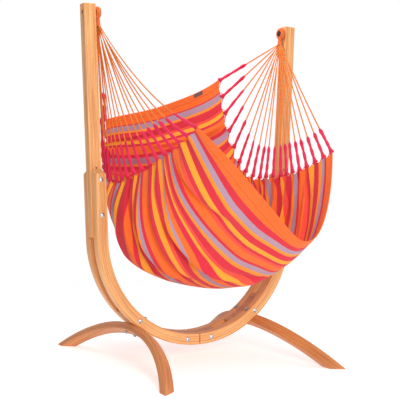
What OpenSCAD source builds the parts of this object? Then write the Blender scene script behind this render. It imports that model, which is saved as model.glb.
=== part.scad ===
// Hammock chair hung between the two posts of a laminated wooden stand.
// X runs from the left post to the right post, Y runs to the back and Z runs up.
// The origin is on the ground, at the middle of the stand. All sizes are in millimetres.

/* [Stand] */
// Outer radius of the curved boards that make the U-shaped base
base_radius = 650; // [600:5:700]
// Height of the lowest point of the curved boards over the ground
base_clearance = 84; // [70:1:95]
// Width of the curved boards, measured towards the centre of the U
board_width = 64; // [56:1:72]
// Thickness of each curved board, front to back
board_thick = 54; // [44:1:58]
// Length of the straight upper part of each curved board
arm_straight = 368; // [360:1:376]
// Angle at which each post leans outwards, in degrees
lean = 2.5; // [1:0.5:4]

/* [Posts] */
// Width of each post, left to right
post_width = 70; // [62:1:74]
// Thickness of each post, front to back
post_depth = 56; // [50:1:60]
// Height of the top of each post over the centre of the U, along the post
post_top = 1294; // [1285:1:1310]
// Distance between neighbouring height-setting holes in a post
hole_pitch = 64; // [60:1:66]

/* [Feet] */
// Outer radius of each arched foot
foot_radius = 1040; // [1000:5:1080]
// Thickness of each arched foot
foot_thick = 44; // [38:1:50]
// Width of each arched foot
foot_width = 62; // [54:1:70]
// Angle from the bottom of the U to each foot, in degrees
foot_angle = 36; // [33:1:38]

/* [Hammock] */
// Height of the pegs that carry the hammock
peg_height = 1955; // [1940:1:1965]
// Strings at each end of the cloth
string_count = 19; // [15:2:23]
// Length of the braided tail between each string and the cloth
tail_length = 210; // [160:5:240]
// How far the foremost left string hangs below a straight line
left_sag = 75; // [0:5:100]
// How far the foremost right string hangs below a straight line
right_sag = 15; // [0:5:50]
// Thickness of the cloth solid
cloth_thick = 4; // [3:0.5:6]

/* [Hidden] */
$fn = 96;
arc_sides = 180;

wood = "burlywood";
end_wood = "peru";
steel = "silver";
orange = "darkorange";
crimson = "crimson";

// Stand, derived
base_centre = base_clearance + base_radius;
board_inner = base_radius - board_width;
board_middle = base_radius - board_width / 2;
slot_half = post_depth / 2;
stand_half = slot_half + board_thick;
post_proud = 6;
post_outer = base_radius + post_proud;
post_inner = post_outer - post_width;
post_foot = 20;
butt_gap = 5;
bevel_drop = 25;
reach = 2000;

// Bolts
bolt_d = 10;
hole_d = 10.4;
dome_d = 28;
dome_h = 6;
washer_d = 24;
washer_h = 2;
nut_d = 19.6;
nut_h = 8;
first_hole = 145;
hole_total = 5;
upper_bolt = 3;
spacer_angle = 39;
spacer_half = 12.5;
splice_angle = 7.5;
splice_half = 13;
foot_bolt_y = 55;
recess_d = 26;
recess_h = 1;
seat_depth = 3.5;
foot_half_arc = 48;

// Pegs and loops
peg_seat = 641;
peg_tip = 606;
sleeve_d = 24;
sleeve_seat_d = 30;
peg_recess_d = 26;
peg_recess_x = 696;
peg_washer_d = 32;
peg_washer_h = 1.5;
peg_head_d = 16;
peg_head_h = 3;
bolt_end = 2;
neck_row = 4.5;
neck_deep = 11;
head_h = 8;
loop_bore = 12.5;
loop_mid = 621.5;
loop_half = 14.5;
loop_outer = 36;
neck_top = 1930;
neck_foot = 1884;
neck_r_top = 9;
neck_r_foot = 15;
neck_x = 616;
string_d = 2.4;
tail_d = 8;
tail_gap = 9;
string_runs = 4;
tail_runs = 2;
tube_sides = 12;

// Cloth: its two ends and its middle line, each from the back hem to the front hem.
// Every entry is [share of the way from back to front, x, y, z].
left_end = [[0, -415, 335, 1400], [0.1, -422, 345, 1250], [0.2, -428, 325, 1110], [0.3, -428, 250, 1038],
    [0.45, -420, 80, 1042], [0.6, -390, -90, 1092], [0.72, -360, -235, 1155], [0.85, -342, -395, 1220],
    [1, -335, -600, 1315]];
right_end = [[0, 365, 310, 1685], [0.1, 385, 285, 1490], [0.2, 410, 240, 1290], [0.3, 435, 155, 1125],
    [0.4, 445, 35, 1060], [0.5, 448, -95, 1060], [0.65, 458, -270, 1073], [0.8, 480, -405, 1108],
    [0.9, 502, -520, 1153], [1, 525, -625, 1203]];
middle = [[0, 20, 355, 1515], [0.15, 5, 395, 1220], [0.3, 0, 410, 900], [0.42, 12, 375, 635],
    [0.52, 45, 275, 465], [0.62, 100, 115, 400], [0.72, 145, -75, 403], [0.82, 172, -285, 465],
    [0.92, 190, -500, 600], [1, 200, -675, 778]];
// How the cloth runs from its middle to its ends, from back to front. Every entry is
// [share, fullness of the left half, fullness of the right half, fall of the middle to the right].
shape = [[0, 0.1, 0.2, 0], [0.1, 0.5, 0.5, 0], [0.2, 1.3, 0.8, 0], [0.3, 1.9, 1, 0], [0.5, 2, 1, 0],
    [0.65, 1.5, 1, 0], [0.8, 0.9, 1, -60], [0.92, 0.3, 1, -280], [1, -0.1, 1, -540]];
mid_run = 1.45;
end_fall = 1.9;
cloth_across = 36;
cloth_along = 44;
hem_share = 0.02;
end_share = 0.004;
hem_gap = 0.0004;
hem_thick = 6;
hem_rows = 2;
tab_left = 0.4;
tab_right = 0.58;
tab_top = 0.001;
tab_low = 0.013;
tab_thick = 1.8;
tab_gap = 0.2;

// Value of a list of [share, x, y, z] at share v, on a smooth curve through its points
function knot(list, v) = max([for (i = [0:len(list) - 2]) if (v >= list[i][0] || i == 0) i]);
function spot(entry) = [entry[1], entry[2], entry[3]];
function slope(list, i) =
    let (a = max(i - 1, 0), b = min(i + 1, len(list) - 1))
    (spot(list[b]) - spot(list[a])) / (list[b][0] - list[a][0]);
function track(list, v) =
    let (i = knot(list, v), w = list[i + 1][0] - list[i][0], s = (v - list[i][0]) / w)
    spot(list[i]) * (2 * pow(s, 3) - 3 * s * s + 1)
    + slope(list, i) * w * (pow(s, 3) - 2 * s * s + s)
    + spot(list[i + 1]) * (3 * s * s - 2 * pow(s, 3))
    + slope(list, i + 1) * w * (pow(s, 3) - s * s);
// Direction in which the cloth leaves an end, for the run from that end to the middle
function end_run(run, full) =
    [run[0] * (1 - full), run[1] * (1 - full / 2), run[2] * (1 - full + full * end_fall)];
// Point of the cloth at u from -1 at its left end to 1 at its right end, and v from back to front
function cloth_point(u, v) =
    let (m = track(middle, v), left = track(left_end, v), right = track(right_end, v),
        form = track(shape, v), through = (right - left) / 2 * mid_run + [0, 0, form[2]],
        e = u < 0 ? left : right, full = u < 0 ? form[0] : form[1],
        out = (u < 0 ? -1 : 1) * through, fall = -end_run(m - e, full), s = abs(u))
    m * (2 * pow(s, 3) - 3 * s * s + 1) + out * (pow(s, 3) - 2 * s * s + s)
    + e * (3 * s * s - 2 * pow(s, 3)) + fall * (pow(s, 3) - s * s);
function unit(a) = a / norm(a);
function cloth_normal(u, v) =
    let (d = 0.01, ua = max(u - d, -1), ub = min(u + d, 1), va = max(v - d, 0), vb = min(v + d, 1))
    unit(cross(cloth_point(ub, v) - cloth_point(ua, v), cloth_point(u, vb) - cloth_point(u, va)));

// Where string k meets the neck, the tail and the cloth; s is -1 on the left and 1 on the right
function string_share(k) = end_share + (1 - 2 * end_share) * k / (string_count - 1);
function string_top(s, k) =
    [s * (neck_x + neck_row * (k % 3 - 1)), neck_deep * (1 - 2 * k / (string_count - 1)), neck_foot];
function tail_foot(s, k) =
    let (c = cloth_point(s, string_share(k)), h = string_top(s, k)) c + unit(h - c) * tail_gap;
// String k with its tail, from the neck at t = 0 to the cloth at t = 1: its sag, its point and its way
function hang_sag(s, k) = (s < 0 ? left_sag : right_sag) * pow(k / (string_count - 1), 2);
function hang_point(s, k, t) =
    let (a = string_top(s, k)) a + (tail_foot(s, k) - a) * t - [0, 0, 4 * hang_sag(s, k) * t * (1 - t)];
function hang_way(s, k, t) =
    unit(tail_foot(s, k) - string_top(s, k) - [0, 0, 4 * hang_sag(s, k) * (1 - 2 * t)]);
function tail_start(s, k) = 1 - tail_length / norm(string_top(s, k) - tail_foot(s, k));

// Frames: the left side is the mirror image of the right side
module side(s) { mirror([s < 0 ? 1 : 0, 0, 0]) children(); }
module post_frame() { translate([0, 0, base_centre]) rotate([0, lean, 0]) children(); }
module foot_frame() {
    translate([0, 0, base_centre]) rotate([0, -foot_angle, 0]) translate([0, 0, -base_radius]) children();
}
// A point on the middle of the curved boards, a degrees up from the bottom of the U
function on_board(a) = [board_middle * sin(a), base_centre - board_middle * cos(a)];

// Round rods that run front to back
module y_rod(x, z, d, from, to) {
    translate([x, from, z]) rotate([-90, 0, 0]) cylinder(d = d, h = to - from);
}
module board_sector(r1, r2, y1, y2, from, to) {
    translate([0, 0, base_centre]) rotate([90, 0, 0]) rotate([0, 0, from - 90])
        rotate_extrude(angle = to - from, $fn = arc_sides)
            translate([r1, -y2]) square([r2 - r1, y2 - y1]);
}
// Holes that run front to back through the boards and what is between them
module board_holes() {
    post_frame() for (i = [0, upper_bolt])
        y_rod(board_middle, first_hole + i * hole_pitch, hole_d, -reach / 4, reach / 4);
    for (a = [spacer_angle, splice_angle])
        y_rod(on_board(a)[0], on_board(a)[1], hole_d, -reach / 4, reach / 4);
}
// Holes for the bolts that hold a foot, with a recess for each head
module foot_bolt_holes() {
    foot_frame() for (y = [-foot_bolt_y, foot_bolt_y]) translate([0, y, 0]) {
        translate([0, 0, -reach / 16]) cylinder(d = hole_d, h = reach / 8);
        translate([0, 0, board_width - recess_h]) cylinder(d = recess_d, h = board_width);
    }
}

module post(s) {
    color(wood) side(s) difference() {
        post_frame() translate([post_inner, -slot_half, post_foot])
            cube([post_width, post_depth, post_top - post_foot]);
        post_frame() for (i = [0:hole_total - 1])
            y_rod(board_middle, first_hole + i * hole_pitch, hole_d, -reach / 8, reach / 8);
        translate([peg_seat - reach / 16, 0, peg_height]) rotate([0, 90, 0])
            cylinder(d = hole_d, h = reach / 8);
        translate([peg_seat - sleeve_seat_d, 0, peg_height]) rotate([0, 90, 0])
            cylinder(d = sleeve_seat_d, h = sleeve_seat_d);
        translate([peg_recess_x, 0, peg_height]) rotate([0, 90, 0])
            cylinder(d = peg_recess_d, h = peg_recess_d);
    }
}

// One curved board with its straight arm; f is -1 for the front board and 1 for the rear board
module arm(s, f) {
    near = f < 0 ? -stand_half : slot_half;
    color(wood) side(s) difference() {
        union() {
            post_frame() rotate([-90, 0, 0]) rotate_extrude(angle = 90 - lean, $fn = arc_sides)
                translate([board_inner, near]) square([board_width, board_thick]);
            post_frame() translate([board_inner, near, 0])
                cube([board_width, board_thick, arm_straight + bevel_drop]);
        }
        post_frame() translate([board_inner - 1, f * slot_half, arm_straight + bevel_drop])
            rotate([f * -atan(bevel_drop / board_thick), 0, 0])
            translate([0, f < 0 ? -2 * board_thick : 0, 0])
            cube([board_width + 2, 2 * board_thick, 2 * board_thick]);
        translate([-reach / 2 + butt_gap / 2, -reach / 4, 0])
            cube([reach / 2, reach / 2, base_centre / 2]);
        board_holes();
        foot_bolt_holes();
    }
}

module foot(s) {
    color(wood) side(s) difference() {
        foot_frame() translate([-foot_width / 2, 0, seat_depth - foot_radius]) rotate([0, 90, 0])
            rotate([0, 0, 180 - foot_half_arc]) rotate_extrude(angle = 2 * foot_half_arc, $fn = arc_sides)
            translate([foot_radius - foot_thick, 0]) square([foot_thick, foot_width]);
        translate([0, reach / 4, base_centre]) rotate([90, 0, 0])
            cylinder(r = base_radius, h = reach / 2, $fn = arc_sides);
        translate([-reach / 2, -reach, -reach]) cube([reach, 2 * reach, reach]);
        foot_bolt_holes();
        foot_frame() for (y = [-foot_bolt_y, foot_bolt_y])
            translate([0, y, -foot_thick - reach / 16 + 1]) cylinder(d = recess_d, h = reach / 16);
    }
}

// Block between the front and rear boards, over a foot
module spacer(s) {
    color(end_wood) side(s) difference() {
        board_sector(board_inner, base_radius, -slot_half, slot_half,
            foot_angle - spacer_half, foot_angle + spacer_half);
        board_holes();
    }
}

// Block that joins the left and right boards at the bottom of the U
module splice() {
    color(end_wood) difference() {
        board_sector(board_inner, base_radius, -slot_half, slot_half, -splice_half, splice_half);
        for (s = [-1, 1]) side(s) board_holes();
    }
}

// Domed bolt from the front face to a washer and nut on the rear face
module y_bolt(x, z) {
    ball = (dome_d * dome_d / 4 + dome_h * dome_h) / (2 * dome_h);
    y_rod(x, z, bolt_d, -stand_half, stand_half + washer_h + nut_h + bolt_end);
    intersection() {
        translate([x, -stand_half + ball - dome_h, z]) sphere(r = ball);
        y_rod(x, z, dome_d + 2, -stand_half - dome_h - 1, -stand_half);
    }
    y_rod(x, z, washer_d, stand_half, stand_half + washer_h);
    translate([x, stand_half + washer_h, z]) rotate([-90, 0, 0]) cylinder(d = nut_d, h = nut_h, $fn = 6);
}
module arm_bolts(s) {
    color(steel) side(s) post_frame() for (i = [0, upper_bolt])
        y_bolt(board_middle, first_hole + i * hole_pitch);
}
module spacer_bolt(s) {
    color(steel) side(s) y_bolt(on_board(spacer_angle)[0], on_board(spacer_angle)[1]);
}
module splice_bolts() {
    color(steel) for (s = [-1, 1]) side(s) y_bolt(on_board(splice_angle)[0], on_board(splice_angle)[1]);
}
// Hexagon bolts down through the boards and the foot
module foot_bolts(s) {
    foot_spot = -foot_thick + 1;
    color(steel) side(s) foot_frame() for (y = [-foot_bolt_y, foot_bolt_y]) translate([0, y, 0]) {
        translate([0, 0, foot_spot - washer_h - nut_h - bolt_end])
            cylinder(d = bolt_d, h = board_width - recess_h - foot_spot + washer_h + nut_h + bolt_end);
        translate([0, 0, board_width - recess_h]) cylinder(d = washer_d, h = washer_h);
        translate([0, 0, board_width - recess_h + washer_h]) cylinder(d = nut_d, h = head_h, $fn = 6);
        translate([0, 0, foot_spot - washer_h]) cylinder(d = washer_d, h = washer_h);
        translate([0, 0, foot_spot - washer_h - nut_h]) cylinder(d = nut_d, h = nut_h, $fn = 6);
    }
}

// Peg: a bolt through the post, a sleeve that the loop turns on and a washer that keeps it there
module x_rod(d, from, to, sides = $fn) {
    translate([from, 0, peg_height]) rotate([0, 90, 0]) cylinder(d = d, h = to - from, $fn = sides);
}
module peg_bolt(s) {
    tip = peg_tip - peg_washer_h;
    color(steel) side(s) {
        x_rod(peg_head_d, tip - peg_head_h, tip, 6);
        x_rod(bolt_d, tip, peg_recess_x + washer_h + nut_h);
        x_rod(washer_d, peg_recess_x, peg_recess_x + washer_h);
        x_rod(nut_d, peg_recess_x + washer_h, peg_recess_x + washer_h + nut_h - 1, 6);
    }
}
module peg_sleeve(s) {
    color(end_wood) side(s) difference() {
        x_rod(sleeve_d, peg_tip, peg_seat);
        x_rod(hole_d, peg_tip - 1, peg_seat + 1);
    }
}
module peg_washer(s) {
    color(steel) side(s) difference() {
        x_rod(peg_washer_d, peg_tip - peg_washer_h, peg_tip);
        x_rod(hole_d, peg_tip - peg_washer_h - 1, peg_tip + 1);
    }
}

// Whipped loop at each end of the hammock
module loop(s) {
    color(orange) side(s) translate([loop_mid, 0, peg_height]) rotate([0, 90, 0]) rotate_extrude() {
        translate([loop_bore, -loop_half]) square([loop_outer - loop_half - loop_bore, 2 * loop_half]);
        intersection() {
            translate([loop_outer - loop_half, 0]) circle(r = loop_half);
            translate([loop_bore + 1, -loop_half]) square([loop_outer, 2 * loop_half]);
        }
    }
}
module neck(s) {
    color(orange) side(s) difference() {
        translate([neck_x, 0, neck_foot])
            cylinder(r1 = neck_r_foot, r2 = neck_r_top, h = neck_top - neck_foot);
        x_rod(2 * loop_outer, loop_mid - 3 * loop_half, loop_mid + 3 * loop_half);
    }
}

// The stretch of string k from t1 to t2, as one tube. Its top is flat where it meets the neck.
module hung_tube(s, k, t1, t2, runs, d) {
    n = tube_sides;
    rings = [for (i = [0:runs]) for (j = [0:n - 1])
        let (t = t1 + (t2 - t1) * i / runs, a = 360 * j / n, way = hang_way(s, k, t),
            across = unit(cross(way, [1, 0, 0])),
            p = hang_point(s, k, t) + (across * cos(a) + cross(way, across) * sin(a)) * d / 2)
        t > 0 ? p : p - way * (p[2] - neck_foot) / way[2]];
    sides = [for (i = [0:runs - 1]) for (j = [0:n - 1])
        let (a = i * n + j, b = i * n + (j + 1) % n)
        each [[a, b + n, b], [a, a + n, b + n]]];
    first = [for (j = [0:n - 1]) j];
    last = [for (j = [0:n - 1]) n * (runs + 1) - 1 - j];
    polyhedron(points = rings, faces = concat([first, last], sides), convexity = 2);
}
third = floor(string_count / 3);
function group(g) = g == 0 ? [0:third - 1]
    : g == 1 ? [third:string_count - third - 1]
    : [string_count - third:string_count - 1];
module strings(s, g) {
    color(orange) for (k = group(g)) hung_tube(s, k, 0, tail_start(s, k), string_runs, string_d);
}
module tails(s, g) {
    color(crimson) for (k = group(g)) hung_tube(s, k, tail_start(s, k), 1, tail_runs, tail_d);
}

// A piece of the cloth between shares v1 and v2, from offset h1 to h2 off its middle, as a closed solid
module sheet_solid(u1, u2, v1, v2, across, along, h1, h2) {
    row = along + 1;
    count = row * (across + 1);
    us = [for (j = [0:along]) u1 + (u2 - u1) * j / along];
    vs = [for (i = [0:across]) v1 + (v2 - v1) * i / across];
    points = [for (h = [h1, h2]) for (v = vs) for (u = us)
        cloth_point(u, v) + cloth_normal(u, v) * h];
    sides = concat(
        [for (i = [0:across - 1]) for (j = [0:along - 1])
            let (a = i * row + j, b = a + 1, c = a + row, d = c + 1, e = count)
            each [[a, b, d], [a, d, c], [a + e, d + e, b + e], [a + e, c + e, d + e]]],
        [for (j = [0:along - 1]) let (a = j, b = j + 1, e = count)
            each [[a, a + e, b + e], [a, b + e, b]]],
        [for (j = [0:along - 1]) let (a = across * row + j, b = a + 1, e = count)
            each [[a, b + e, a + e], [a, b, b + e]]],
        [for (i = [0:across - 1]) let (a = i * row, b = a + row, e = count)
            each [[a, b + e, a + e], [a, b, b + e]]],
        [for (i = [0:across - 1]) let (a = i * row + along, b = a + row, e = count)
            each [[a, a + e, b + e], [a, b + e, b]]]);
    polyhedron(points = points, faces = sides, convexity = 8);
}
module cloth() {
    half = cloth_thick / 2;
    color("tomato") sheet_solid(-1, 1, hem_share, 1 - hem_share, cloth_across, cloth_along, -half, half);
}
module back_hem() { color(orange) hem_piece(0, hem_share - hem_gap); }
module front_hem() { color(orange) hem_piece(1 - hem_share + hem_gap, 1); }
module hem_piece(v1, v2) {
    half = hem_thick / 2;
    sheet_solid(-1, 1, v1, v2, hem_rows, cloth_along, -half, half);
}
// Small plain tab on the inside of the back hem
module label_tab() {
    near = -hem_thick / 2 - tab_gap;
    color("dimgray") sheet_solid(tab_left, tab_right, tab_top, tab_low, 1, 4, near - tab_thick, near);
}

post(-1);  // post_left
post(1);  // post_right
arm(-1, -1);  // arm_left_front
arm(-1, 1);  // arm_left_rear
arm(1, -1);  // arm_right_front
arm(1, 1);  // arm_right_rear
foot(-1);  // foot_left
foot(1);  // foot_right
spacer(-1);  // spacer_left
spacer(1);  // spacer_right
splice();  // splice_block
arm_bolts(-1);  // arm_bolts_left
arm_bolts(1);  // arm_bolts_right
spacer_bolt(-1);  // spacer_bolt_left
spacer_bolt(1);  // spacer_bolt_right
splice_bolts();
foot_bolts(-1);  // foot_bolts_left
foot_bolts(1);  // foot_bolts_right
peg_bolt(-1);  // peg_bolt_left
peg_bolt(1);  // peg_bolt_right
peg_sleeve(-1);  // peg_sleeve_left
peg_sleeve(1);  // peg_sleeve_right
peg_washer(-1);  // peg_washer_left
peg_washer(1);  // peg_washer_right
loop(-1);  // loop_left
loop(1);  // loop_right
neck(-1);  // neck_left
neck(1);  // neck_right
strings(-1, 0);  // strings_left_back
strings(-1, 1);  // strings_left_middle
strings(-1, 2);  // strings_left_front
strings(1, 0);  // strings_right_back
strings(1, 1);  // strings_right_middle
strings(1, 2);  // strings_right_front
tails(-1, 0);  // tails_left_back
tails(-1, 1);  // tails_left_middle
tails(-1, 2);  // tails_left_front
tails(1, 0);  // tails_right_back
tails(1, 1);  // tails_right_middle
tails(1, 2);  // tails_right_front
cloth();
back_hem();
front_hem();
label_tab();
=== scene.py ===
"""Looks of a hammock chair that hangs between the two posts of a laminated wooden stand.

Everything is in metres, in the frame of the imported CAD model: X from the left post to the
right post, Y to the back, Z up, the origin on the ground. The bolts, washers and sleeves keep
the CAD model's shapes, and the wooden parts only get rounded arrises. The cloth, its strings,
tails, rings and necks are built here, along the same curves as their CAD solids.
"""

import math

import bmesh
import bpy
import numpy as np
from mathutils import Matrix, Vector


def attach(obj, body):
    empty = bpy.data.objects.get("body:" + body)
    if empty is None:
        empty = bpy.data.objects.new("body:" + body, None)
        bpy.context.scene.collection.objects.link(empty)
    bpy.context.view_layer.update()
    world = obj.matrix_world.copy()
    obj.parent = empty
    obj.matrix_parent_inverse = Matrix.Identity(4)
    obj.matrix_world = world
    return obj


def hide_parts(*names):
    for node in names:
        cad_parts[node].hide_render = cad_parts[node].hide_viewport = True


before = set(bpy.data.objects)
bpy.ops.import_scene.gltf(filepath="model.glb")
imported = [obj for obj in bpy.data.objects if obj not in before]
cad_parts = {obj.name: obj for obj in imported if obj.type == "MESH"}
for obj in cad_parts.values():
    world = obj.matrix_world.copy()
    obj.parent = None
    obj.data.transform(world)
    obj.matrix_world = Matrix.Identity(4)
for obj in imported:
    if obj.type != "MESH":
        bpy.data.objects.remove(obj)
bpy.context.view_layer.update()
MM = 0.001
RNG = np.random.default_rng(7)

# ---------------------------------------------------------------- dimensions shared with the CAD
LEAN = math.radians(2.5)
BASE_CENTRE = 0.734
BASE_RADIUS = 0.650
BOARD_WIDTH = 0.064
FOOT_ANGLE = math.radians(36)
FOOT_RADIUS = 1.040
FOOT_SEAT = 0.0035
PEG_HEIGHT = 1.955
LOOP_MID = 0.6215
STRINGS = 19
END_SHARE = 0.004
TAIL_LENGTH = 0.210
NECK_X = 0.616
NECK_ROW = 0.0045
NECK_DEEP = 0.011
NECK_FOOT = 1.884
NECK_BITE = 0.004
LEFT_SAG, RIGHT_SAG = 0.075, 0.015
HEM_SHARE = 0.02
# How strongly the cloth runs through its middle, and how steeply its full parts leave its ends
MID_RUN = 1.45
END_FALL = 1.9

# Each entry: share of the way from the back hem to the front hem, then x, y, z in millimetres.
LEFT_END = [[0, -415, 335, 1400], [0.1, -422, 345, 1250], [0.2, -428, 325, 1110],
            [0.3, -428, 250, 1038], [0.45, -420, 80, 1042], [0.6, -390, -90, 1092],
            [0.72, -360, -235, 1155], [0.85, -342, -395, 1220], [1, -335, -600, 1315]]
RIGHT_END = [[0, 365, 310, 1685], [0.1, 385, 285, 1490], [0.2, 410, 240, 1290],
             [0.3, 435, 155, 1125], [0.4, 445, 35, 1060], [0.5, 448, -95, 1060],
             [0.65, 458, -270, 1073], [0.8, 480, -405, 1108], [0.9, 502, -520, 1153],
             [1, 525, -625, 1203]]
MIDDLE = [[0, 20, 355, 1515], [0.15, 5, 395, 1220], [0.3, 0, 410, 900], [0.42, 12, 375, 635],
          [0.52, 45, 275, 465], [0.62, 100, 115, 400], [0.72, 145, -75, 403],
          [0.82, 172, -285, 465], [0.92, 190, -500, 600], [1, 200, -675, 778]]
# Each entry: share, fullness of the left half, fullness of the right half, fall to the right.
SHAPE = [[0, 0.1, 0.2, 0], [0.1, 0.5, 0.5, 0], [0.2, 1.3, 0.8, 0], [0.3, 1.9, 1, 0],
         [0.5, 2, 1, 0], [0.65, 1.5, 1, 0], [0.8, 0.9, 1, -60], [0.92, 0.3, 1, -280],
         [1, -0.1, 1, -540]]


def track(table, v):
    """The three values of a table at each share in v, on a smooth curve through its entries."""
    t = np.array(table, float)
    v = np.asarray(v, float)
    i = np.clip(np.searchsorted(t[:, 0], v, side="right") - 1, 0, len(t) - 2)
    last = len(t) - 1
    at = np.arange(len(t))
    low, high = np.maximum(at - 1, 0), np.minimum(at + 1, last)
    slope = (t[high, 1:] - t[low, 1:]) / (t[high, :1] - t[low, :1])
    w = (t[i + 1, 0] - t[i, 0])[..., None]
    s = (v[..., None] - t[i, :1]) / w
    return (t[i, 1:] * (2 * s**3 - 3 * s**2 + 1) + slope[i] * w * (s**3 - 2 * s**2 + s)
            + t[i + 1, 1:] * (3 * s**2 - 2 * s**3) + slope[i + 1] * w * (s**3 - s**2))


def cloth_point(u, v):
    """Points of the cloth: u from -1 at its left end to 1 at its right end, v from back to front."""
    u, v = np.broadcast_arrays(np.asarray(u, float), np.asarray(v, float))
    m, left, right, form = (track(t, v) for t in (MIDDLE, LEFT_END, RIGHT_END, SHAPE))
    on_left = (u < 0)[..., None]
    through = (right - left) / 2 * MID_RUN
    through[..., 2] += form[..., 2]
    e = np.where(on_left, left, right)
    full = np.where(on_left[..., 0], form[..., 0], form[..., 1])
    out = np.where(on_left, -1, 1) * through
    run = m - e
    fall = -run * np.stack([1 - full, 1 - full / 2, 1 - full + full * END_FALL], -1)
    s = np.abs(u)[..., None]
    return MM * (m * (2 * s**3 - 3 * s**2 + 1) + out * (s**3 - 2 * s**2 + s)
                 + e * (3 * s**2 - 2 * s**3) + fall * (s**3 - s**2))


# How far apart the points are that give a direction on the cloth, in u or share
NEARBY = 0.01


def cloth_normal(u, v):
    """Unit normals of the cloth, which point away from the person who sits in it."""
    u, v = np.broadcast_arrays(np.asarray(u, float), np.asarray(v, float))
    more, less = np.minimum(u + NEARBY, 1), np.maximum(u - NEARBY, -1)
    front, back = np.minimum(v + NEARBY, 1), np.maximum(v - NEARBY, 0)
    along = cloth_point(more, v) - cloth_point(less, v)
    across = cloth_point(u, front) - cloth_point(u, back)
    n = np.cross(along, across)
    return n / np.linalg.norm(n, axis=-1, keepdims=True)


def string_share(k):
    """Where string k meets an end of the cloth, as a share of the way from back to front."""
    return END_SHARE + (1 - 2 * END_SHARE) * k / (STRINGS - 1)


def string_number(v):
    """The number of the string that meets the cloth at share v; between two strings, a fraction."""
    return (v - END_SHARE) / (1 - 2 * END_SHARE) * (STRINGS - 1)


# ---------------------------------------------------------------- folds of the cloth
# Each fold: where its ridge starts (u, share) and ends (u, share), its width in share and its
# height in metres. It is steep towards the back hem, or towards the front hem if its width is
# negative, and has a valley along its steep side.
FOLDS = [(-0.97, 0.850, -0.35, 0.935, 0.035, 0.024), (-0.90, 0.730, -0.05, 0.825, 0.045, 0.036),
         (-0.60, 0.770, 0.25, 0.850, -0.040, 0.021), (-0.99, 0.660, -0.20, 0.745, 0.040, 0.021),
         (-0.98, 0.580, -0.25, 0.690, 0.040, 0.024), (-0.99, 0.500, -0.35, 0.610, -0.045, 0.021),
         (-0.99, 0.430, -0.45, 0.540, 0.045, 0.024), (0.35, 0.900, 0.99, 0.845, 0.030, 0.015),
         (0.25, 0.740, 0.99, 0.700, 0.040, 0.021), (0.35, 0.620, 0.99, 0.575, -0.045, 0.021),
         (0.30, 0.480, 0.99, 0.430, 0.040, 0.021), (-0.98, 0.110, 0.10, 0.075, 0.030, 0.015),
         (-0.80, 0.210, 0.50, 0.180, -0.035, 0.018), (-0.30, 0.130, 0.98, 0.150, 0.030, 0.015),
         (-0.60, 0.330, 0.70, 0.310, 0.045, 0.018), (-0.40, 0.420, 0.60, 0.400, -0.040, 0.015)]
# Both sides of a fold and its valley, in widths of the fold, and how far its ridge wanders
GENTLE, STEEP = 0.8, 0.2
VALLEY_DEPTH, VALLEY_PLACE, VALLEY_WIDTH = 0.7, -0.45, 0.25
FOLD_SWAY = 0.006
# Pleats at the tails: height in metres and how far they reach in u; depth of the scallops
PLEAT_HEIGHT, PLEAT_REACH = 0.008, 0.13
SCALLOP = 0.012


def bump(x, low, high, soft):
    """1 between low and high, falling to 0 over soft on both sides."""
    rise = np.clip((x - low) / soft, 0, 1)
    fall = np.clip((high - x) / soft, 0, 1)
    return (rise * rise * (3 - 2 * rise)) * (fall * fall * (3 - 2 * fall))


def fold_height(u, v):
    """How far the cloth stands off its plain shape, in metres."""
    h = np.zeros_like(u)
    for u1, v1, u2, v2, width, height in FOLDS:
        t = np.clip((u - u1) / (u2 - u1), -0.2, 1.2)
        line = v1 + (v2 - v1) * t + FOLD_SWAY * np.sin(4 * t + 50 * v1)
        d = (v - line) / width
        slope = np.exp(-(d / np.where(d > 0, GENTLE, STEEP)) ** 2)
        slope -= VALLEY_DEPTH * np.exp(-((d - VALLEY_PLACE) / VALLEY_WIDTH) ** 2)
        h += height * slope * bump(u, u1 - 0.02, u2, 0.3 * (u2 - u1))
    # pleats that run from each tail into the cloth, and fade within a hand's width
    k = string_number(v)
    near = np.exp(-(1 - np.abs(u)) / (PLEAT_REACH + 0.05 * np.sin(2.3 * k + 4 * np.sign(u))))
    edge = np.clip(np.minimum(v, 1 - v) / HEM_SHARE, 0, 1)
    uneven = 1 + 0.5 * np.sin(1.7 * k + 2 * np.sign(u))
    h += PLEAT_HEIGHT * near * uneven * np.cos(2 * np.pi * k) * edge
    # slow ripples of cloth that isn't pulled tight, which die out towards the hems
    h += 0.0022 * np.sin(2 * np.pi * (5.3 * v + 0.8 * u)) * np.sin(2 * np.pi * 1.7 * u + 9 * v)
    h += 0.0012 * np.sin(2 * np.pi * (13 * v - 1.1 * u)) * np.cos(2 * np.pi * 2.3 * u)
    return h * np.clip(np.minimum(v, 1 - v) / 0.05 + 0.15, 0, 1)


def cloth_shape(u, v, off=0.0):
    """The cloth with its folds, moved off along its normal."""
    u, v = np.broadcast_arrays(np.asarray(u, float), np.asarray(v, float))
    k = string_number(v)
    p = cloth_point(u, v)
    n = cloth_normal(u, v)
    # between two tails the end of the cloth hangs back in a shallow scallop
    scallop = SCALLOP * (0.5 - 0.5 * np.cos(2 * np.pi * k)) * np.clip(np.abs(u) * 20 - 19, 0, 1)
    inward = cloth_point(u * 0.98, v) - p
    inward /= np.maximum(np.linalg.norm(inward, axis=-1, keepdims=True), 1e-9)
    return p + n * (fold_height(u, v) + off)[..., None] + inward * scallop[..., None]


# ---------------------------------------------------------------- small helpers
def link(obj):
    """Puts an object in the scene."""
    bpy.context.scene.collection.objects.link(obj)
    return obj


def finish_piece(obj, body, material, nodes=()):
    """Gives a piece its material, makes it ride on its body and replace its CAD nodes."""
    obj.data.materials.clear()
    obj.data.materials.append(material)
    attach(obj, body)
    if nodes:
        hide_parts(*nodes)
    return obj


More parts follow.
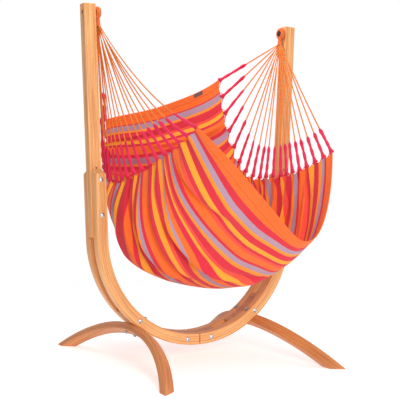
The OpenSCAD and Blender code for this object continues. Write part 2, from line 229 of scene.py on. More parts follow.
def grid_object(name, points, uv):
    """A mesh of quads through a grid of points, with a UV map of the same grid."""
    rows, cols = points.shape[:2]
    at = np.arange(rows * cols).reshape(rows, cols)
    quads = np.stack([at[:-1, :-1], at[:-1, 1:], at[1:, 1:], at[1:, :-1]], -1).reshape(-1, 4)
    mesh = bpy.data.meshes.new(name)
    mesh.from_pydata(points.reshape(-1, 3).tolist(), [], quads.tolist())
    layer = mesh.uv_layers.new(name="cloth")
    layer.data.foreach_set("uv", uv.reshape(-1, 2)[quads.reshape(-1)].astype(np.float32).ravel())
    mesh.polygons.foreach_set("use_smooth", [True] * len(mesh.polygons))
    return link(bpy.data.objects.new(name, mesh))


def thicken(obj, thickness):
    """Gives a sheet its thickness, equally to both sides, and applies it."""
    mod = obj.modifiers.new("thickness", "SOLIDIFY")
    mod.thickness = thickness
    mod.offset = 0
    apply_modifiers(obj)


def apply_modifiers(obj):
    """Makes the shape that an object's modifiers give it its own mesh."""
    dg = bpy.context.evaluated_depsgraph_get()
    mesh = bpy.data.meshes.new_from_object(obj.evaluated_get(dg))
    obj.modifiers.clear()
    old = obj.data
    obj.data = mesh
    bpy.data.meshes.remove(old)


# A direction that no tube starts along
ANY_WAY = (0.3, 0.9, 0.1)


def tube_mesh(name, paths, sides):
    """One mesh of round tubes. Each path is (points, radii), closed by a flat cap at both ends."""
    verts, faces, uvs = [], [], []
    ring = np.linspace(0, 2 * np.pi, sides, endpoint=False)
    for points, radii in paths:
        p = np.asarray(points, float)
        r = np.broadcast_to(np.asarray(radii, float), (len(p),))
        t = np.gradient(p, axis=0)
        t /= np.maximum(np.linalg.norm(t, axis=1, keepdims=True), 1e-9)
        side = np.cross(t[0], ANY_WAY)
        side /= np.linalg.norm(side)
        run = np.concatenate([[0], np.cumsum(np.linalg.norm(np.diff(p, axis=0), axis=1))])
        first = len(verts)
        for i in range(len(p)):
            side = side - t[i] * side.dot(t[i])
            side /= np.linalg.norm(side)
            other = np.cross(t[i], side)
            for a in ring:
                verts.append(p[i] + r[i] * (side * math.cos(a) + other * math.sin(a)))
        for i in range(len(p) - 1):
            for j in range(sides):
                a, b = first + i * sides + j, first + i * sides + (j + 1) % sides
                faces.append((a, b, b + sides, a + sides))
                lo, hi = j / sides, (j + 1) / sides
                uvs += [(run[i], lo), (run[i], hi), (run[i + 1], hi), (run[i + 1], lo)]
        last = first + (len(p) - 1) * sides
        faces.append(tuple(first + j for j in reversed(range(sides))))
        faces.append(tuple(last + j for j in range(sides)))
        uvs += [(run[0], 0)] * sides + [(run[-1], 0)] * sides
    mesh = bpy.data.meshes.new(name)
    mesh.from_pydata([tuple(v) for v in verts], [], faces)
    layer = mesh.uv_layers.new(name="run")
    layer.data.foreach_set("uv", np.array(uvs, np.float32).ravel())
    mesh.polygons.foreach_set("use_smooth", [True] * len(mesh.polygons))
    return link(bpy.data.objects.new(name, mesh))


def unit(v):
    """A vector of length 1 in the same direction."""
    return v / np.linalg.norm(v)


# ---------------------------------------------------------------- materials
class Nodes:
    """A short way to build one material's node tree."""

    def __init__(self, name, roughness, **inputs):
        self.material = bpy.data.materials.new(name)
        self.material.use_nodes = True
        self.tree = self.material.node_tree
        self.shader = self.tree.nodes["Principled BSDF"]
        self.shader.inputs["Roughness"].default_value = roughness
        for key, value in inputs.items():
            self.shader.inputs[key.replace("_", " ")].default_value = value

    def add(self, kind, inputs=(), **props):
        node = self.tree.nodes.new(kind)
        for key, value in props.items():
            setattr(node, key, value)
        for key, value in dict(inputs).items():
            self.put(node.inputs[key], value)
        return node

    def put(self, socket, value):
        if isinstance(value, bpy.types.NodeSocket):
            self.tree.links.new(value, socket)
        else:
            socket.default_value = value

    def math(self, op, a, b=0.0, c=0.0):
        node = self.add("ShaderNodeMath", {0: a, 1: b, 2: c}, operation=op)
        return node.outputs[0]

    def vector(self, x, y, z):
        return self.add("ShaderNodeCombineXYZ", {"X": x, "Y": y, "Z": z}).outputs[0]

    def split(self, vector):
        return self.add("ShaderNodeSeparateXYZ", {"Vector": vector}).outputs

    def place(self):
        return self.add("ShaderNodeTexCoord").outputs["Object"]

    def uv(self):
        return self.split(self.add("ShaderNodeTexCoord").outputs["UV"])

    def noise(self, vector, scale, detail=2.0, roughness=0.5):
        node = self.add("ShaderNodeTexNoise", {"Vector": vector, "Scale": scale, "Detail": detail,
                                               "Roughness": roughness})
        return node.outputs[0]

    def ramp(self, factor, stops, interpolation="LINEAR"):
        node = self.add("ShaderNodeValToRGB", {"Fac": factor})
        ramp = node.color_ramp
        ramp.interpolation = interpolation
        while len(ramp.elements) < len(stops):
            ramp.elements.new(1.0)
        for element, (at, colour) in zip(ramp.elements, stops):
            element.position = at
            element.color = (*colour, 1)
        return node.outputs[0]

    def mix(self, factor, a, b, blend="MIX"):
        node = self.add("ShaderNodeMix", data_type="RGBA", blend_type=blend)
        self.put(node.inputs[0], factor)
        for socket, value in ((node.inputs[6], a), (node.inputs[7], b)):
            self.put(socket, value if isinstance(value, bpy.types.NodeSocket) else (*value, 1))
        return node.outputs[2]

    def colour(self, socket):
        self.put(self.shader.inputs["Base Color"], socket)

    def roughness(self, factor, low, high):
        self.put(self.shader.inputs["Roughness"], self.spread(factor, low, high))

    def spread(self, factor, low, high, start=0.0):
        node = self.add("ShaderNodeMapRange", {"Value": factor, "From Min": start,
                                               "To Min": low, "To Max": high})
        return node.outputs[0]

    def relief(self, height, distance, strength=1.0):
        node = self.add("ShaderNodeBump", {"Height": height, "Distance": distance,
                                           "Strength": strength})
        self.put(self.shader.inputs["Normal"], node.outputs[0])


def rgb(r, g, b):
    """A colour from its 0 to 255 display values."""
    return tuple((c / 255 / 12.92) if c <= 10 else ((c / 255 + 0.055) / 1.055) ** 2.4
                 for c in (r, g, b))


def grain_run(n, kind):
    """Place along the grain, across the laminations and through the board, in metres."""
    x, y, z = n.split(n.place())
    ax = n.math("ABSOLUTE", x)
    up = n.math("SUBTRACT", z, BASE_CENTRE)
    if kind == "foot":
        # outward along the foot's normal, and sideways along its width
        out = n.math("SUBTRACT", n.math("MULTIPLY", ax, math.sin(FOOT_ANGLE)),
                     n.math("MULTIPLY", up, math.cos(FOOT_ANGLE)))
        side = n.math("ADD", n.math("MULTIPLY", ax, math.cos(FOOT_ANGLE)),
                      n.math("MULTIPLY", up, math.sin(FOOT_ANGLE)))
        drop = n.math("SUBTRACT", BASE_RADIUS - FOOT_SEAT + FOOT_RADIUS, out)
        radius = n.math("SQRT", n.math("ADD", n.math("POWER", y, 2.0),
                                       n.math("POWER", drop, 2.0)))
        along = n.math("MULTIPLY", n.math("ARCTAN2", y, drop), FOOT_RADIUS)
        return along, radius, side
    px = n.math("SUBTRACT", n.math("MULTIPLY", ax, math.cos(LEAN)),
                n.math("MULTIPLY", up, math.sin(LEAN)))
    pz = n.math("ADD", n.math("MULTIPLY", ax, math.sin(LEAN)),
                n.math("MULTIPLY", up, math.cos(LEAN)))
    if kind == "post":
        return pz, px, y
    radius = n.math("SQRT", n.math("ADD", n.math("POWER", px, 2.0), n.math("POWER", pz, 2.0)))
    curved = n.math("MULTIPLY", n.math("ARCTAN2", pz, px), BASE_RADIUS - BOARD_WIDTH / 2)
    on_arc = n.math("LESS_THAN", pz, 0.0)
    straight = n.math("SUBTRACT", 1.0, on_arc)
    along = n.math("ADD", n.math("MULTIPLY", curved, on_arc), n.math("MULTIPLY", pz, straight))
    across = n.math("ADD", n.math("MULTIPLY", radius, on_arc), n.math("MULTIPLY", px, straight))
    if kind == "block":
        return y, across, along
    return along, across, y


# Laminations: thickness, place of the first glue line, and how far the layers wander
LAYER, FIRST_GLUE_LINE = 0.0155, 0.0042
LAYER_SWAY = 0.0012
# A glue line starts this far from the middle of its layer, in layers, and darkens the wood
GLUE_EDGE, GLUE_SHADE = 0.462, 0.55


def darker(colour, share):
    """A colour with only that share of its light."""
    return tuple(c * share for c in colour)


def wood(name, kind, light, dark, seed):
    """Laminated hardwood: thin glued layers, each its own tone, with fine streaks of grain."""
    n = Nodes(name, 0.42, Coat_Weight=0.12, Coat_Roughness=0.3)
    along, across, depth = grain_run(n, kind)
    # layers wander a little along the board, so their glue lines aren't ruled
    sway = n.noise(n.vector(along, seed, depth), 3.0, 1.0)
    place = n.math("ADD", across, n.spread(sway, -LAYER_SWAY, LAYER_SWAY))
    stack = n.math("DIVIDE", n.math("ADD", place, FIRST_GLUE_LINE), LAYER)
    which = n.math("FLOOR", stack)
    tone = n.add("ShaderNodeTexWhiteNoise", {"Vector": n.vector(which, seed, 0.5)}).outputs[0]
    line = n.math("ABSOLUTE", n.math("SUBTRACT", n.math("FRACT", stack), 0.5))
    glue = n.math("GREATER_THAN", line, GLUE_EDGE)
    streak_at = n.vector(n.math("MULTIPLY", along, 4.0), n.math("MULTIPLY", place, 300.0),
                         n.math("ADD", n.math("MULTIPLY", depth, 260.0), seed))
    streak = n.noise(streak_at, 1.0, 4.0, 0.62)
    broad_at = n.vector(n.math("MULTIPLY", along, 2.2), n.math("MULTIPLY", place, 55.0),
                        n.math("ADD", n.math("MULTIPLY", depth, 40.0), seed))
    broad = n.noise(broad_at, 1.0, 2.0)
    pores_at = n.vector(n.math("MULTIPLY", along, 60.0), n.math("MULTIPLY", place, 1500.0),
                        n.math("MULTIPLY", depth, 1500.0))
    pores = n.noise(pores_at, 1.0, 1.0)
    mixed = n.math("ADD", n.math("MULTIPLY", streak, 0.62), n.math("MULTIPLY", broad, 0.38))
    colour = n.ramp(mixed, [(0.33, darker(dark, 0.8)), (0.42, dark), (0.58, light)])
    toned = n.mix(n.spread(tone, 0.0, 0.34), colour, darker(dark, 0.6))
    glued = n.mix(n.math("MULTIPLY", glue, GLUE_SHADE), toned, darker(dark, 0.3))
    dotted = n.mix(n.spread(n.math("GREATER_THAN", pores, 0.64), 0.0, 0.28), glued,
                   darker(dark, 0.35))
    n.colour(dotted)
    n.roughness(streak, 0.36, 0.52)
    n.relief(n.math("ADD", mixed, n.math("MULTIPLY", pores, 0.25)), 0.0004, 0.5)
    return n.material


def steel(name, base, roughness):
    """Plated steel with smears and fine scratches."""
    n = Nodes(name, roughness, Metallic=1.0)
    place = n.place()
    smear = n.noise(place, 90.0, 3.0)
    scratch = n.noise(n.vector(*[n.math("MULTIPLY", c, s) for c, s in
                                 zip(n.split(place), (900.0, 900.0, 60.0))]), 1.0, 2.0)
    n.colour(n.mix(smear, darker(base, 0.78), base))
    n.roughness(scratch, roughness - 0.08, roughness + 0.14)
    n.relief(scratch, 0.0001, 0.4)
    return n.material


# Strands in a twisted cord
STRANDS = 3


def cord(name, light, dark, pitch):
    """Twisted cotton cord: strands that wind round it, with loose fibres, and painted shade in the
    grooves between the strands.
    """
    n = Nodes(name, 0.85, Sheen_Weight=0.1, Sheen_Roughness=0.5)
    run, turn, _ = n.uv()
    wave = n.math("SINE", n.math("MULTIPLY", n.math("ADD", n.math("DIVIDE", run, pitch), turn),
                                 2 * math.pi * STRANDS))
    fibre = n.noise(n.vector(n.math("MULTIPLY", run, 2600.0), n.math("MULTIPLY", turn, 30.0), 0.0),
                    1.0, 2.0)
    patch = n.noise(n.place(), 14.0, 2.0)
    # the colour is light on each strand's crest and dark in the grooves between strands: painted
    # highlight and painted shade
    strand = n.spread(wave, 0.25, 1.0, -1.0)
    n.colour(n.mix(n.math("MULTIPLY", n.math("ADD", strand, patch), 0.6),
                   n.mix(fibre, darker(dark, 0.7), dark), light))
    n.relief(n.math("ADD", wave, n.math("MULTIPLY", fibre, 0.6)), 0.0006, 0.7)
    return n.material


ORANGE = rgb(253, 108, 30)
CORAL = rgb(248, 76, 60)
CRIMSON = rgb(220, 20, 58)
LAVENDER = rgb(176, 146, 170)
GOLD = rgb(255, 146, 36)
AMBER = rgb(255, 164, 40)
YELLOW = rgb(255, 178, 46)
# The stripes from each hem inwards: width in thousandths of the cloth's length, and colour.
FRONT_STRIPES = [(27, ORANGE), (9, CRIMSON), (14, LAVENDER), (6, GOLD), (18, CRIMSON), (10, AMBER),
                 (8, CRIMSON), (7, CORAL), (21, ORANGE), (8, CRIMSON), (12, LAVENDER), (7, GOLD),
                 (14, CRIMSON), (8, CORAL), (10, AMBER), (15, CRIMSON), (15, ORANGE),
                 (17, LAVENDER), (9, GOLD), (18, CRIMSON), (8, CORAL), (12, AMBER), (14, CRIMSON),
                 (26, ORANGE), (12, CRIMSON), (24, LAVENDER), (9, GOLD), (28, CRIMSON),
                 (13, AMBER), (12, CRIMSON), (30, ORANGE), (60, CRIMSON)]
BACK_STRIPES = [(36, ORANGE), (6, CRIMSON), (18, LAVENDER), (10, GOLD), (20, CRIMSON), (9, CORAL),
                (14, YELLOW), (8, CRIMSON), (25, ORANGE), (12, CRIMSON), (20, LAVENDER), (9, GOLD),
                (20, CRIMSON), (9, CORAL), (16, YELLOW), (9, CRIMSON), (32, ORANGE), (10, CRIMSON),
                (22, LAVENDER), (11, GOLD), (24, CRIMSON), (9, CORAL), (16, YELLOW), (8, CRIMSON),
                (32, ORANGE), (10, CRIMSON), (22, LAVENDER), (11, GOLD), (28, CRIMSON),
                (18, YELLOW), (36, ORANGE)]
# Share of the cloth from which the stripes are counted from the front hem
TURN = 0.5
# How the gathers at the ends spread and close the stripes. The edges of some lavender stripes on
# the flat cloth are at DRAWN; each entry of GATHERS is u, then the shares where they lie there.
# From the back hem to UNDRAWN the stripes stay as they are.
DRAWN = (0.6505, 0.6755, 0.7725, 0.7915, 0.8655, 0.9565)
GATHERS = [[-1, 0.605, 0.608, 0.740, 0.743, 0.800, 0.962],
           [-0.6, 0.632, 0.648, 0.771, 0.783, 0.852, 0.949],
           [-0.25, 0.634, 0.658, 0.756, 0.776, 0.872, 0.951],
           [0.1, 0.598, 0.622, 0.731, 0.750, 0.882, 0.965],
           [0.8, 0.440, 0.465, 0.580, 0.620, 0.795, 0.948],
           [1, 0.390, 0.410, 0.500, 0.540, 0.750, 0.945]]
UNDRAWN = 0.25
# Metres from thread to thread, across the stripes and along them
WARP_PITCH, WEFT_PITCH = 0.0022, 0.0026
# How far a stripe's edge wanders, as a share, and about how many metres lie from hem to hem
EDGE_SOFTNESS = 0.0006
CLOTH_DEPTH = 2.1


def woven(n, colour, run, across):
    """Adds the weave, its worn threads, its uneven yarn and painted shade between the threads to a
    cloth material's colour.
    """
    warp = n.math("SINE", n.math("MULTIPLY", across, 2 * math.pi / WARP_PITCH))
    weft = n.math("SINE", n.math("MULTIPLY", run, 2 * math.pi / WEFT_PITCH))
    rib = n.math("MULTIPLY", warp, weft)
    slub = n.noise(n.vector(n.math("MULTIPLY", run, 26.0), n.math("MULTIPLY", across, 900.0), 0.0),
                   1.0, 3.0, 0.6)
    fade = n.noise(n.place(), 5.0, 3.0)
    # the ribs of the weave darken the colour between the threads and lighten it on them: painted
    # shade and painted highlight; the slubs are uneven yarn
    threads = n.spread(n.math("ADD", n.math("MULTIPLY", rib, 0.25), slub), 0.78, 1.2)
    shade = n.add("ShaderNodeCombineColor", {"Red": threads, "Green": threads, "Blue": threads})
    lit = n.mix(1.0, colour, shade.outputs[0], "MULTIPLY")
    worn = n.mix(n.spread(fade, 0.0, 0.07), lit, rgb(255, 176, 120))
    n.colour(worn)
    n.roughness(slub, 0.78, 0.95)
    n.relief(n.math("ADD", rib, n.math("MULTIPLY", slub, 0.7)), 0.0007, 0.55)


def starts(stripes):
    """Where each stripe starts, as a share of the cloth's length."""
    edges = np.cumsum([0] + [width for width, _ in stripes[:-1]]) / 1000
    return [(float(at), colour) for at, (_, colour) in zip(edges, stripes)]


def striped_cloth():
    """Cotton cloth with stripes that run from end to end, counted inwards from both hems."""
    n = Nodes("striped_cotton", 0.85, Sheen_Weight=0.08, Sheen_Roughness=0.5)
    run, share, _ = n.uv()
    edge = n.noise(n.vector(n.math("MULTIPLY", run, 40.0), n.math("MULTIPLY", share, 700.0), 0.0),
                   1.0, 1.0)
    soft = n.math("ADD", share, n.spread(edge, -EDGE_SOFTNESS, EDGE_SOFTNESS))
    front = n.ramp(n.math("SUBTRACT", 1.0, soft), starts(FRONT_STRIPES), "CONSTANT")
    back = n.ramp(soft, starts(BACK_STRIPES), "CONSTANT")
    stripes = n.mix(n.math("GREATER_THAN", soft, TURN), back, front)
    woven(n, stripes, run, n.math("MULTIPLY", share, CLOTH_DEPTH))
    return n.material


def plain_cloth(name, base):
    """Cotton cloth of one colour."""
    n = Nodes(name, 0.85, Sheen_Weight=0.08, Sheen_Roughness=0.5)
    run, across, _ = n.uv()
    patch = n.noise(n.vector(n.math("MULTIPLY", run, 9.0), n.math("MULTIPLY", across, 60.0), 0.0),
                    1.0, 2.0)
    woven(n, n.mix(patch, base, darker(base, 0.86)), run, across)
    return n.material


WOOD_LIGHT, WOOD_DARK = rgb(243, 182, 116), rgb(214, 138, 76)
# The feet get a darker copy of the same wood: painted shade for the low parts near the floor.
SHADED_FOOT_LIGHT, SHADED_FOOT_DARK = rgb(232, 154, 90), rgb(192, 112, 58)
post_wood = wood("post_wood", "post", WOOD_LIGHT, WOOD_DARK, 1.0)
arm_wood = wood("arm_wood", "arm", WOOD_LIGHT, WOOD_DARK, 4.0)
shaded_foot_wood = wood("shaded_foot_wood", "foot", SHADED_FOOT_LIGHT, SHADED_FOOT_DARK, 9.0)
block_wood = wood("block_wood", "block", rgb(222, 148, 88), rgb(180, 106, 58), 13.0)
sleeve_wood = wood("sleeve_wood", "block", rgb(120, 74, 44), rgb(74, 42, 24), 17.0)
bolt_steel = steel("bolt_steel", rgb(205, 205, 208), 0.32)
dark_steel = steel("dark_steel", rgb(96, 92, 90), 0.38)
orange_cord = cord("orange_cord", rgb(255, 148, 56), rgb(240, 106, 36), 0.012)
whip_cord = cord("whip_cord", rgb(255, 132, 58), rgb(228, 88, 36), 0.010)
crimson_cord = cord("crimson_cord", rgb(244, 34, 88), rgb(208, 16, 62), 0.016)
cloth_look = striped_cloth()
hem_look = plain_cloth("orange_cotton", ORANGE)
label_look = plain_cloth("plain_tab", rgb(92, 78, 84))
stitch_look = cord("stitch_thread", rgb(255, 170, 110), rgb(232, 112, 56), 0.004)


# ---------------------------------------------------------------- wooden parts and fittings
# Widths of rounded arrises, the shortest edge that gets one, and how near vertices are welded
ARRIS, BLOCK_ARRIS = 0.003, 0.001
SHORTEST_ARRIS = 0.0075
WELD = 2e-6
# Least turn between two faces for an edge to be kept, rounded over, or shaded as sharp
KEPT_TURN, ARRIS_TURN, SHARP_TURN = math.radians(0.4), math.radians(32), math.radians(35)
STEEL_TURN = math.radians(30)


def rounded_copy(node, width, material):
    """A copy of a wooden CAD part with its long arrises rounded over, in place of the CAD part."""
    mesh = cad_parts[node].data.copy()
    mesh.name = node + "_rounded"
    bm = bmesh.new()
    bm.from_mesh(mesh)
    bmesh.ops.remove_doubles(bm, verts=bm.verts, dist=WELD)
    bmesh.ops.dissolve_limit(bm, angle_limit=KEPT_TURN, verts=bm.verts, edges=bm.edges)
    weight = bm.edges.layers.float.new("bevel_weight_edge")
    for e in bm.edges:
        sharp = len(e.link_faces) == 2 and e.calc_face_angle(0) > ARRIS_TURN
        e[weight] = 1.0 if sharp and e.calc_length() > SHORTEST_ARRIS else 0.0
    bm.to_mesh(mesh)
    bm.free()
    obj = link(bpy.data.objects.new(node + "_rounded", mesh))
    mod = obj.modifiers.new("arris", "BEVEL")
    mod.limit_method = "WEIGHT"
    mod.width = width
    mod.segments = 3
    mod.use_clamp_overlap = True
    apply_modifiers(obj)
    obj.data.set_sharp_from_angle(angle=SHARP_TURN)
    obj.data.polygons.foreach_set("use_smooth", [True] * len(obj.data.polygons))
    return finish_piece(obj, "stand", material, [node])


def dress(node, material):
    """Gives a CAD node that keeps its shape a better material and smooth shading."""
    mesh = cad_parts[node].data
    mesh.materials.clear()
    mesh.materials.append(material)
    mesh.polygons.foreach_set("use_smooth", [True] * len(mesh.polygons))
    mesh.set_sharp_from_angle(angle=STEEL_TURN)


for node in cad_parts:
    if node.startswith("post_"):
        rounded_copy(node, ARRIS, post_wood)
    elif node.startswith("arm_") and "bolts" not in node:
        rounded_copy(node, ARRIS, arm_wood)
    elif node in ("foot_left", "foot_right"):
        rounded_copy(node, ARRIS, shaded_foot_wood)
    elif node in ("spacer_left", "spacer_right", "splice_block"):
        rounded_copy(node, BLOCK_ARRIS, block_wood)
    elif node.startswith("peg_sleeve"):
        dress(node, sleeve_wood)
    elif node.startswith("peg_"):
        dress(node, dark_steel)
    elif "bolt" in node:
        dress(node, bolt_steel)

# ---------------------------------------------------------------- the cloth and its hems
ROWS_ACROSS, COLS_ALONG, HEM_ROWS = 320, 240, 10
CLOTH_THICK, HEM_THICK, TAB_THICK = 0.0022, 0.0048, 0.0012
# The tab lies on the inner face of the back hem
TAB_OFF = -0.0038
# Stitches: their line as a share of the hem's width, then sizes in metres
STITCH_LINE, STITCH_PITCH, STITCH_LENGTH, STITCH_RADIUS = 0.86, 0.009, 0.006, 0.0007


def drawn_share(u, v):
    """The share of the flat cloth that lies at (u, v): its gathers spread and close the stripes."""
    drawn = np.empty_like(v)
    for j in range(u.shape[1]):
        stripes = track(GATHERS, u[0, j])
        drawn[:, j] = np.interp(v[:, j], [0, UNDRAWN, *stripes, 1], [0, UNDRAWN, *DRAWN, 1])
    return drawn


def cloth_piece(name, v1, v2, rows, cols, thickness, off=0.0, u1=-1.0, u2=1.0):
    """Part of the cloth as a thick sheet. Its UV map is (metres along the stripes, share)."""
    v, u = np.meshgrid(np.linspace(v1, v2, rows), np.linspace(u1, u2, cols), indexing="ij")
    points = cloth_shape(u, v, off)
    step = np.linalg.norm(np.diff(points[rows // 2], axis=0), axis=1)
    run = np.concatenate([[0], np.cumsum(step)])
    uv = np.stack([np.broadcast_to(run, u.shape), drawn_share(u, v)], -1)
    obj = grid_object(name, points, uv)
    thicken(obj, thickness)
    return obj


cloth = cloth_piece("cloth_sheet", HEM_SHARE, 1 - HEM_SHARE, ROWS_ACROSS, COLS_ALONG, CLOTH_THICK)
back_hem = cloth_piece("back_hem_fold", 0, HEM_SHARE, HEM_ROWS, COLS_ALONG, HEM_THICK)
front_hem = cloth_piece("front_hem_fold", 1 - HEM_SHARE, 1, HEM_ROWS, COLS_ALONG, HEM_THICK)
finish_piece(cloth, "hammock", cloth_look, ["cloth"])
finish_piece(back_hem, "hammock", hem_look, ["back_hem"])
finish_piece(front_hem, "hammock", hem_look, ["front_hem"])


def stitches(name, v):
    """A row of stitches along a hem, on both faces of the cloth."""
    u = np.linspace(-0.985, 0.985, 900)
    paths = []
    for side in (-1, 1):
        line = cloth_shape(u, np.full_like(u, v), side * (HEM_THICK / 2 + 0.0001))
        run = np.concatenate([[0], np.cumsum(np.linalg.norm(np.diff(line, axis=0), axis=1))])
        for start in np.arange(0.004, run[-1] - STITCH_PITCH, STITCH_PITCH):
            at = np.linspace(start, start + STITCH_LENGTH, 4)
            points = np.stack([np.interp(at, run, line[:, a]) for a in range(3)], -1)
            paths.append((points, STITCH_RADIUS))
    return finish_piece(tube_mesh(name, paths, 5), "hammock", stitch_look)


back_stitches = stitches("back_hem_stitches", HEM_SHARE * STITCH_LINE)
front_stitches = stitches("front_hem_stitches", 1 - HEM_SHARE * STITCH_LINE)
label_tab = cloth_piece("plain_label_tab", 0.001, 0.013, 8, 24, TAB_THICK, TAB_OFF, 0.40, 0.58)
finish_piece(label_tab, "hammock", label_look, ["label_tab"])

# ---------------------------------------------------------------- strings, tails and loops
GROUPS = ("back", "middle", "front")
# A doubled string: radius of each run, and half the way between them
STRING_RADIUS, STRING_GAP = 0.0022, 0.0021
# A tail's two strands: radius at the cloth, how much it thins, and half the way between them
STRAND_AT_CLOTH, STRAND_TAPER, STRAND_GAP = 0.0080, 0.0022, 0.0026
# A tail's eye: how far it opens, and its place and length as shares of the tail
EYE_OPEN, EYE_PLACE, EYE_LENGTH = 0.0038, 0.86, 0.07
# How far a tail spreads at the cloth and bows, and the warp threads that it gathers
TAIL_FAN, TAIL_BOW = 0.008, 0.004
WARP_REACH, WARP_RADIUS = 0.021, 0.0018
# The whipped ring: radius of its core's line, how far its cord stands off it, and the cord
RING_RADIUS, RING_DEEP, RING_WIDE, RING_CORD, RING_TURNS = 0.0242, 0.0100, 0.0128, 0.0017, 62
# The bound neck: how far its top is below the peg's axis, its radii, and its cord
NECK_DROP, NECK_TOP_RADIUS, NECK_FOOT_RADIUS = 0.030, 0.0085, 0.0128
NECK_CORD, NECK_TURNS = 0.0022, 11


def group_of(k):
    """The third of its end that string k belongs to."""
    third = STRINGS // 3
    return "back" if k < third else "middle" if k < STRINGS - third else "front"


def string_top(side, k):
    """Where a string starts inside the neck: the strings stand there in three rows."""
    return np.array([side * (NECK_X + NECK_ROW * (k % 3 - 1)),
                     NECK_DEEP * (1 - 2 * k / (STRINGS - 1)), NECK_FOOT + NECK_BITE])


def hang_point(side, k, t):
    """Points of a string and its tail, from the neck at t = 0 to the cloth at t = 1."""
    t = np.atleast_1d(t)[:, None]
    head, foot = string_top(side, k), cloth_shape(np.array(side * 1.0), np.array(string_share(k)))
    sag = (LEFT_SAG if side < 0 else RIGHT_SAG) * (k / (STRINGS - 1)) ** 2
    return head + (foot - head) * t - np.array([0, 0, 4 * sag]) * t * (1 - t)


def tail_start(side, k):
    """Where a tail starts along its string, a little different for each."""
    foot = hang_point(side, k, 1)[0]
    length = TAIL_LENGTH * (0.965 + 0.03 * math.sin(7.3 * k + side))
    return 1 - length / np.linalg.norm(string_top(side, k) - foot)


def cross_directions(side, k):
    """Across a tail: along the end of the cloth, and out from it."""
    v = string_share(k)
    ends = hang_point(side, k, [tail_start(side, k), 1])
    up = unit(ends[0] - ends[1])
    edge = cloth_point(side, min(v + NEARBY, 1)) - cloth_point(side, max(v - NEARBY, 0))
    flat = unit(edge - up * edge.dot(up))
    return flat, np.cross(up, flat)


def tail_strands(side, k):
    """Two strands that twist together, open into a long eye and close round the string."""
    flat, out = cross_directions(side, k)
    t = np.linspace(0, 1, 46)
    axis = hang_point(side, k, 1 - t * (1 - tail_start(side, k)))
    foot = axis[0]
    twist = 2 * math.pi * RNG.uniform(0.8, 1.3) * np.clip(t / 0.7, 0, 1) + RNG.uniform(-0.9, 0.9)
    half = STRAND_GAP + EYE_OPEN * np.exp(-((t - EYE_PLACE) / EYE_LENGTH) ** 2)
    half = half * np.clip((1.0 - t) / 0.05, 0.25, 1)
    spread = TAIL_FAN * np.clip(1 - t / 0.16, 0, 1) ** 1.5
    axis = axis + np.outer(TAIL_BOW * np.sin(math.pi * t) * RNG.uniform(-1, 1), out)
    strands = []
    for s in (-1, 1):
        cross = np.outer(np.cos(twist), flat) + np.outer(np.sin(twist), out)
        fan = np.outer(spread * s * np.sign(np.cos(twist[0])), flat)
        radius = (STRAND_AT_CLOTH - STRAND_TAPER * t) * np.clip(0.62 + (1 - t) / 0.2, 0.62, 1)
        strands.append((axis + s * cross * half[:, None] + fan, radius))
    # the warp threads of the cloth that gather into the tail
    for s in np.linspace(-1, 1, 5):
        reach = min(max(string_share(k) + s * WARP_REACH, 0.001), 0.999)
        root = cloth_shape(np.array(side * 0.995), np.array(reach))
        bend = foot + (axis[5] - foot) * 0.45 + (root - foot) * 0.5
        q = np.linspace(0, 1, 7)[:, None]
        warp = root * (1 - q) ** 2 + 2 * bend * q * (1 - q) + axis[6] * q**2
        strands.append((warp, WARP_RADIUS))
    return strands


def string_paths(side, k):
    """A doubled string: down from the neck, through the tail's eye and up again."""
    flat, _ = cross_directions(side, k)
    q = np.linspace(0, 1, 20)
    start = tail_start(side, k)
    down = hang_point(side, k, q * (start + 0.012))
    low, up = down[-1], unit(down[-2] - down[-1])
    spread = STRING_GAP * np.clip(q[:, None] * 3, 0.25, 1)
    a, b = down - flat * spread, down + flat * spread
    bow = [low + flat * STRING_GAP * across - up * drop
           for across, drop in ((-0.7, 0.0016), (0, 0.0023), (0.7, 0.0016))]
    return [(np.concatenate([a, bow, b[::-1]]), STRING_RADIUS)]


def ring_winding(side):
    """The whipped ring on its peg: a core and a cord wound round it."""
    centre = np.array([side * LOOP_MID, 0, PEG_HEIGHT])
    a = np.linspace(0, 2 * math.pi, 72)
    core = centre + RING_RADIUS * np.stack([0 * a, np.cos(a), np.sin(a)], -1)
    q = np.linspace(0, 2 * math.pi, RING_TURNS * 14)
    r = RING_RADIUS + RING_DEEP * np.cos(RING_TURNS * q)
    out = RING_WIDE * np.sin(RING_TURNS * q)
    cover = centre + np.stack([out, r * np.cos(q), r * np.sin(q)], -1)
    return [(core, RING_DEEP - 0.0006), (cover, RING_CORD)]


def neck_winding(side):
    """The gathered strings under the ring, bound with cord."""
    steps = 20
    q = np.linspace(0, 1, NECK_TURNS * steps)
    radius = NECK_TOP_RADIUS + (NECK_FOOT_RADIUS - NECK_TOP_RADIUS) * q
    turn = 2 * math.pi * NECK_TURNS * q
    top = PEG_HEIGHT - NECK_DROP
    height = top - (top - NECK_FOOT) * q
    centre = np.array([side * NECK_X, 0, 0])
    bound = centre + np.stack([radius * np.cos(turn), radius * np.sin(turn), height], -1)
    heart = centre + np.stack([0 * q, 0 * q, height], -1)[::steps]
    return [(bound, NECK_CORD), (heart, radius[::steps] - 0.0004)]


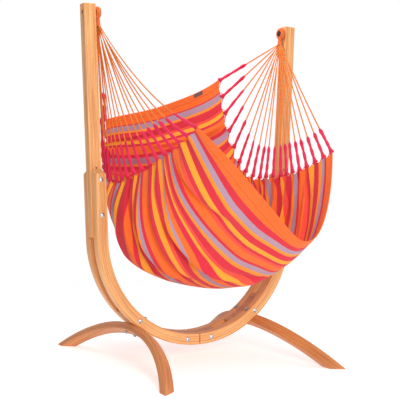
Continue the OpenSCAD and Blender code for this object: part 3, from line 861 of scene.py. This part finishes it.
for side, word in ((-1, "left"), (1, "right")):
    for group in GROUPS:
        tails, strings = [], []
        for k in range(STRINGS):
            if group_of(k) != group:
                continue
            tails += tail_strands(side, k)
            strings += string_paths(side, k)
        finish_piece(tube_mesh(f"tails_{word}_{group}_twisted", tails, 7), "hammock",
                     crimson_cord, [f"tails_{word}_{group}"])
        finish_piece(tube_mesh(f"strings_{word}_{group}_doubled", strings, 6), "hammock",
                     orange_cord, [f"strings_{word}_{group}"])
    finish_piece(tube_mesh(f"loop_{word}_whipped", ring_winding(side), 7), "hammock",
                 whip_cord, [f"loop_{word}"])
    finish_piece(tube_mesh(f"neck_{word}_bound", neck_winding(side), 8), "hammock",
                 whip_cord, [f"neck_{word}"])

# ---------------------------------------------------------------- floor, light and camera
# The floor: half its side, and how far from the origin it starts to fade and is gone
FLOOR_HALF = 6.0
FADE_FROM, FADE_TO = 1.3, 4.5
FLOOR_GLOW, SKY_LIGHT = 0.4, 0.6
# Each light: name, place, what it points at, diameter and power.
LIGHTS = [("key", (-1.3, -5.2, 2.0), (0, 0, 0.9), 2.0, 140),
          ("side", (4.0, -2.6, 1.8), (0, 0, 1.0), 2.5, 28),
          ("fill", (-0.35, 0.05, 2.7), (0.45, 0, 1.0), 0.8, 13)]
# How far the camera turns from the Y axis to the right, tips up and rolls; its lens in mm
CAMERA_PLACE = (-2.501, -4.238, 1.074)
CAMERA_TURN, CAMERA_TIP, CAMERA_ROLL = map(math.radians, (30.98, -1.73, 0.37))
LENS, SENSOR = 75.2, 36


def make_floor():
    """A pale floor that fades out into the white backdrop."""
    bm = bmesh.new()
    bmesh.ops.create_grid(bm, x_segments=2, y_segments=2, size=FLOOR_HALF)
    mesh = bpy.data.meshes.new("floor")
    bm.to_mesh(mesh)
    bm.free()
    n = Nodes("floor_paper", 0.9)
    n.colour(n.mix(n.noise(n.place(), 0.7), (0.90, 0.90, 0.90), (0.93, 0.93, 0.93)))
    n.shader.inputs["Emission Color"].default_value = (1, 1, 1, 1)
    n.shader.inputs["Emission Strength"].default_value = FLOOR_GLOW
    far = n.add("ShaderNodeVectorMath", {0: n.place()}, operation="LENGTH").outputs["Value"]
    fade = n.add("ShaderNodeMapRange", {"Value": far, "From Min": FADE_FROM, "From Max": FADE_TO},
                 interpolation_type="SMOOTHSTEP").outputs[0]
    clear = n.add("ShaderNodeBsdfTransparent").outputs[0]
    both = n.add("ShaderNodeMixShader", {0: fade, 1: n.shader.outputs[0], 2: clear}).outputs[0]
    n.put(n.tree.nodes["Material Output"].inputs["Surface"], both)
    mesh.materials.append(n.material)
    link(bpy.data.objects.new("floor", mesh))


def make_light(name, place, aim, size, power):
    """A round soft light that the camera doesn't see."""
    lamp = bpy.data.lights.new(name, "AREA")
    lamp.shape, lamp.size, lamp.energy = "DISK", size, power
    obj = link(bpy.data.objects.new(name, lamp))
    obj.location = place
    obj.rotation_euler = (Vector(aim) - Vector(place)).to_track_quat("-Z", "Y").to_euler()
    obj.visible_camera = False


def make_sky():
    """Even white light from all sides, in front of a pure white backdrop."""
    world = bpy.data.worlds.new("studio")
    bpy.context.scene.world = world
    world.use_nodes = True
    nodes, links = world.node_tree.nodes, world.node_tree.links
    sky = nodes["Background"]
    sky.inputs["Color"].default_value = (1, 1, 1, 1)
    sky.inputs["Strength"].default_value = SKY_LIGHT
    white = nodes.new("ShaderNodeBackground")
    white.inputs["Strength"].default_value = 1.0
    white.inputs["Color"].default_value = (1, 1, 1, 1)
    seen = nodes.new("ShaderNodeLightPath")
    either = nodes.new("ShaderNodeMixShader")
    links.new(seen.outputs["Is Camera Ray"], either.inputs[0])
    links.new(sky.outputs[0], either.inputs[1])
    links.new(white.outputs[0], either.inputs[2])
    links.new(either.outputs[0], nodes["World Output"].inputs[0])
    bpy.context.scene.view_settings.view_transform = "Standard"


def make_camera():
    """A long lens, low, in front of the stand and to its left."""
    data = bpy.data.cameras.new("camera")
    data.lens, data.sensor_width = LENS, SENSOR
    turn, tip, roll = CAMERA_TURN, CAMERA_TIP, CAMERA_ROLL
    ahead = Vector((math.cos(tip) * math.sin(turn), math.cos(tip) * math.cos(turn), math.sin(tip)))
    right = Vector((math.cos(turn), -math.sin(turn), 0))
    up = right.cross(ahead)
    across = right * math.cos(roll) + up * math.sin(roll)
    above = up * math.cos(roll) - right * math.sin(roll)
    obj = link(bpy.data.objects.new("camera", data))
    turned = Matrix((across, above, -ahead)).transposed().to_4x4()
    obj.matrix_world = Matrix.Translation(CAMERA_PLACE) @ turned
    bpy.context.scene.camera = obj


make_floor()
for light in LIGHTS:
    make_light(*light)
make_sky()
make_camera()
